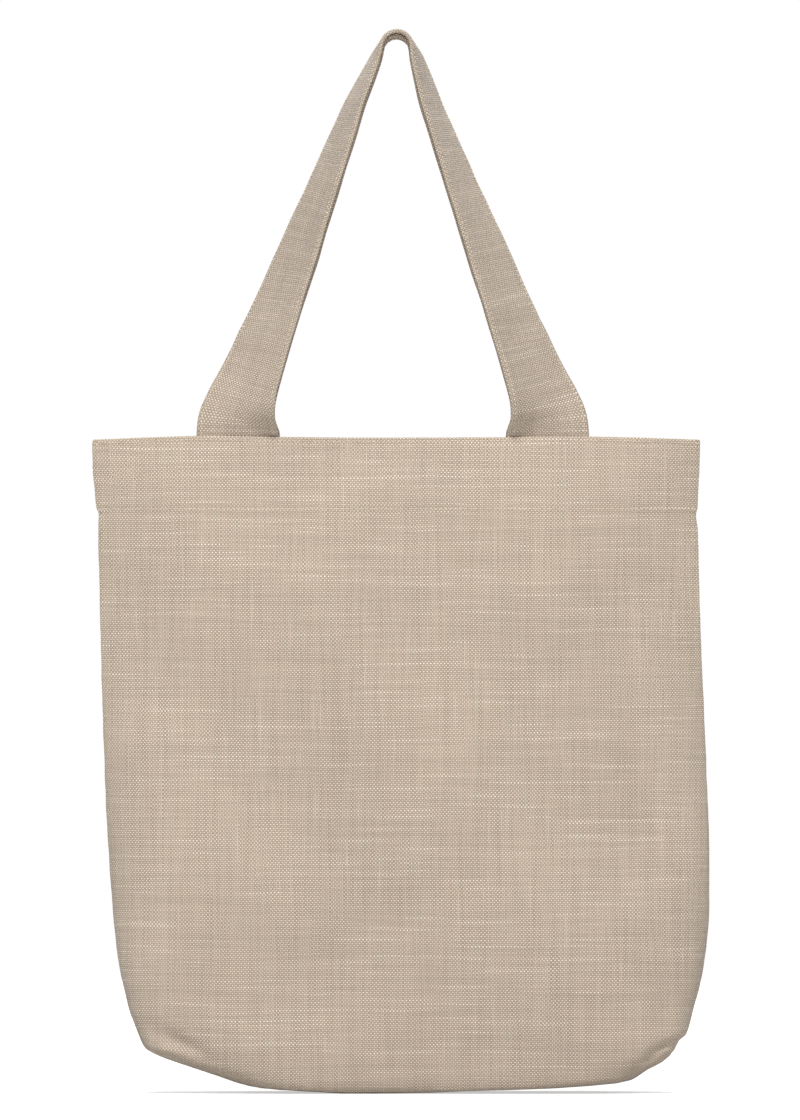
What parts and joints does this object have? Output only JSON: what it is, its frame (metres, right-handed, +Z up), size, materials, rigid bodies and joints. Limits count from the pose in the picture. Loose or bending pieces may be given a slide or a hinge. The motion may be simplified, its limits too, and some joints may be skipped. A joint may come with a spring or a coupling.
{
  "type": "canvas tote bag",
  "caption": "Open-topped canvas tote bag with a turned hem, boxed bottom corners and twin strap handles that swing on the hem.",
  "frame": {"origin": "below the middle of the mouth, on the flat of the base that the bag stands on", "axes": "+X along the mouth to the viewer's right, -Y out of the front panel, +Z up"},
  "size_m": [0.3863, 0.0798, 0.665],
  "materials": {
    "canvas": "matt plain weave with slubs",
    "strap": "matt plain weave with slubs",
    "seam_allowance": "matt, overlocked edge",
    "thread": "matt spun thread"
  },
  "bodies": {
    "bag": {"front_panel": "canvas", "rear_panel": "canvas", "front_hem_facing": "canvas", "rear_hem_facing": "canvas", "left_side_seam": "seam_allowance", "right_side_seam": "seam_allowance", "bottom_seam": "seam_allowance", "left_corner_seam": "seam_allowance", "right_corner_seam": "seam_allowance", "hem_top_stitching": "thread", "hem_lower_stitching": "thread", "front_handle_ends": "strap", "rear_handle_ends": "strap"},
    "front_handle_loop": {"front_handle": "strap", "front_handle_stitching": "thread"},
    "rear_handle_loop": {"rear_handle": "strap", "rear_handle_stitching": "thread"}
  },
  "joints": [
    {"name": "front_handle_swing", "type": "hinge", "parent": "bag", "child": "front_handle_loop", "pos_m": [0, -0.0206, 0.408], "axis": [1, 0, 0], "range_deg": [0, 140]},
    {"name": "rear_handle_swing", "type": "hinge", "parent": "bag", "child": "rear_handle_loop", "pos_m": [0, 0.0206, 0.408], "axis": [-1, 0, 0], "range_deg": [0, 140]}
  ]
}
